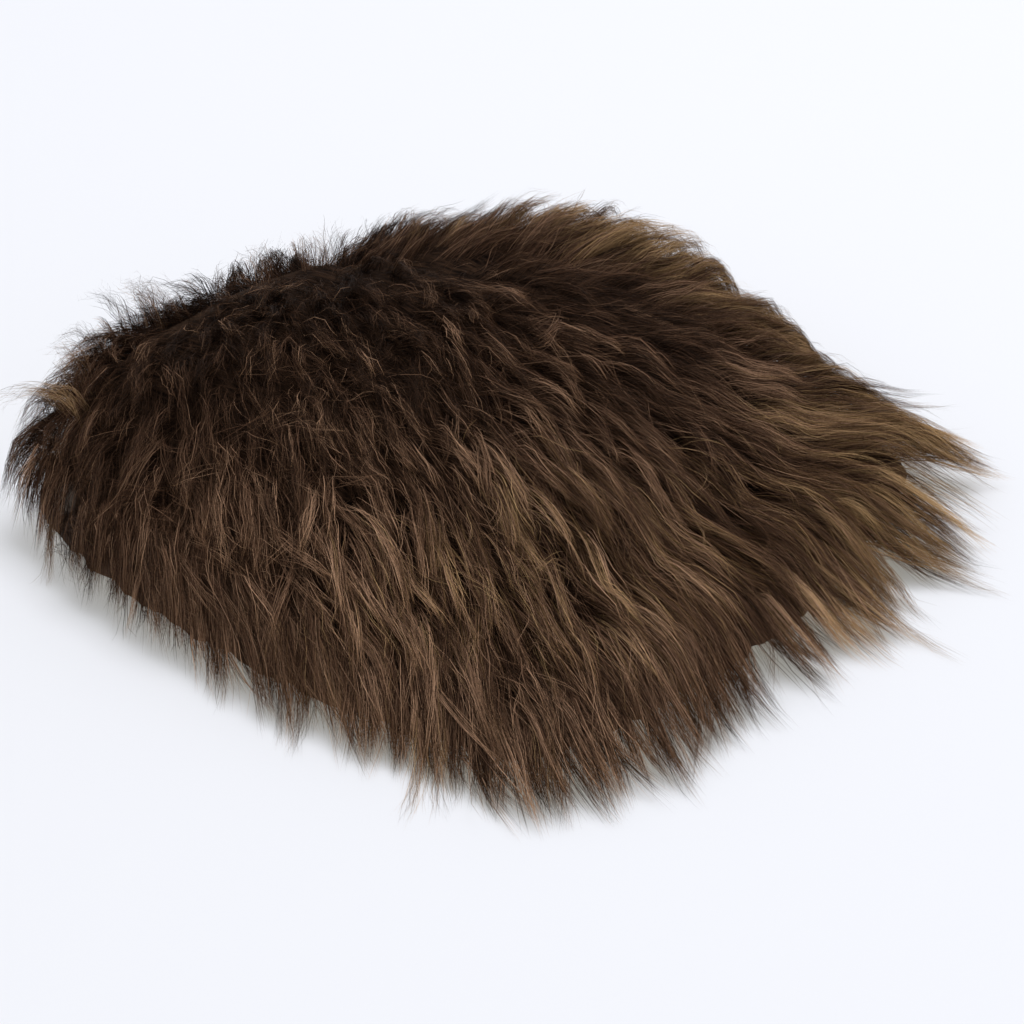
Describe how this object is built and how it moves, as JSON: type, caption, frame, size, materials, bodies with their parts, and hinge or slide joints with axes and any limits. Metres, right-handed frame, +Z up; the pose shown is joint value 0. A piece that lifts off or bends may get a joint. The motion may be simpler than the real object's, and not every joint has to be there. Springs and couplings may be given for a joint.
{
  "type": "sheepskin",
  "caption": "Patch of dark brown long-wool sheepskin, dried in a low arch with the wool side up, its locks hanging over the rim to the surface that it lies on.",
  "frame": {"origin": "centre of the whole footprint, wool included, on the surface that the skin lies on", "axes": "+Z up, out of the wool side; +X along the flow of the wool, from the standing root end to the flat tip end; +Y across the skin, away from the side that faces the viewer"},
  "size_m": [0.2878, 0.2936, 0.0707],
  "materials": {
    "skin": "matt tanned skin, suede-like flesh side",
    "wool": "long dark brown wool with a soft sheen and lighter golden-brown tips"
  },
  "bodies": {
    "root": {"hide": "skin", "fleece": "wool"}
  },
  "joints": []
}
